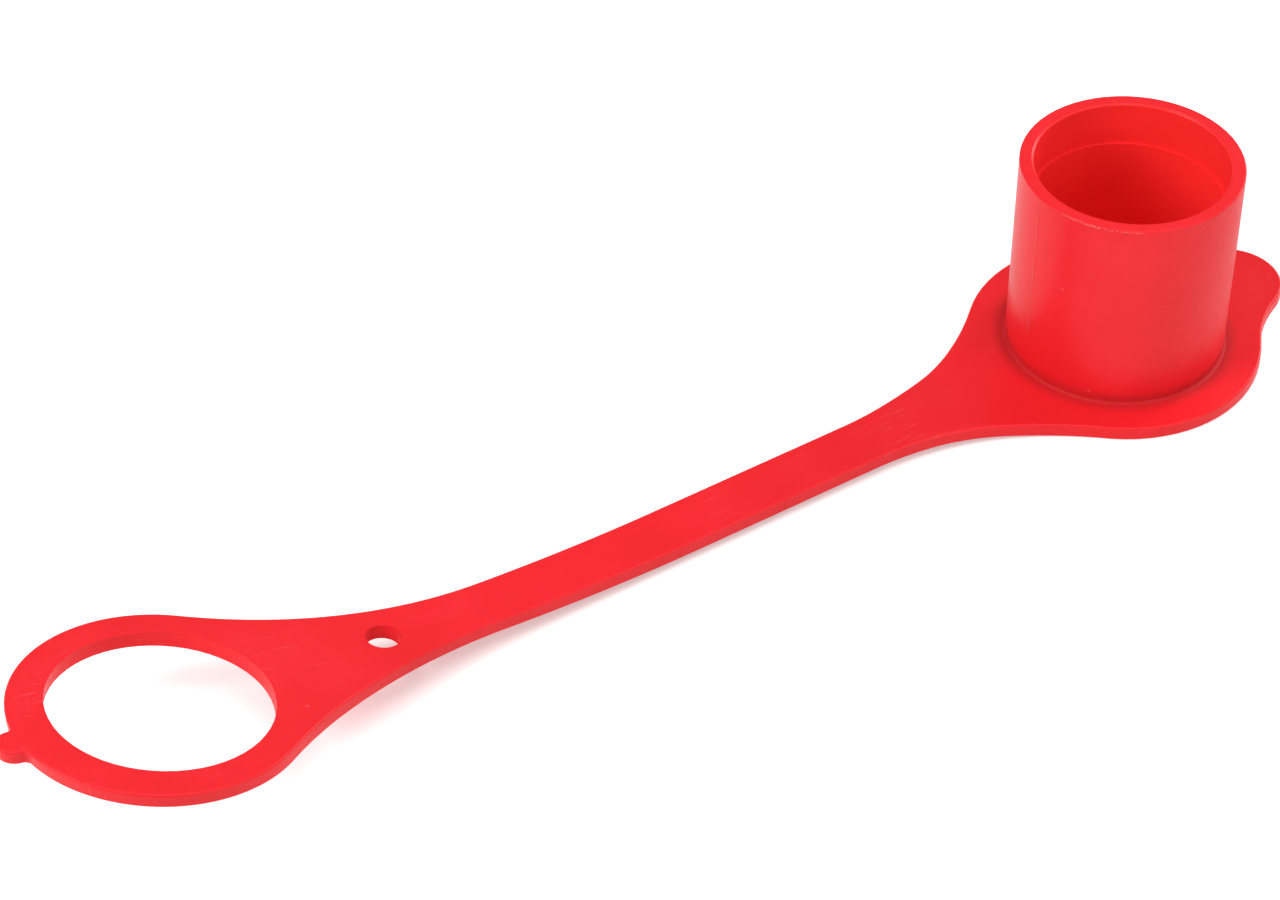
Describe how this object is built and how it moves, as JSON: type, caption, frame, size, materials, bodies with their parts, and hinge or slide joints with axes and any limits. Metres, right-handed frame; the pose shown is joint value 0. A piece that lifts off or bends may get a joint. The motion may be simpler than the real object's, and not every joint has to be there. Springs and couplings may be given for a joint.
{
  "type": "protection cap",
  "caption": "Soft push-on cap for a male pipe thread: blind cup with a stepped bore on a flange, with pull tab, strap, tie hole and retaining ring.",
  "frame": {"origin": "on the cup's axis at the underside of the flange, the face it stands on", "axes": "+Z along the cup's axis out of its mouth, -X along the strap towards the ring, +X towards the end tab"},
  "size_m": [0.1952, 0.0404, 0.0313],
  "materials": {
    "soft_plastic": "satin moulded soft PVC, signal red"
  },
  "bodies": {
    "root": {"protection_cap": "soft_plastic"}
  },
  "joints": []
}
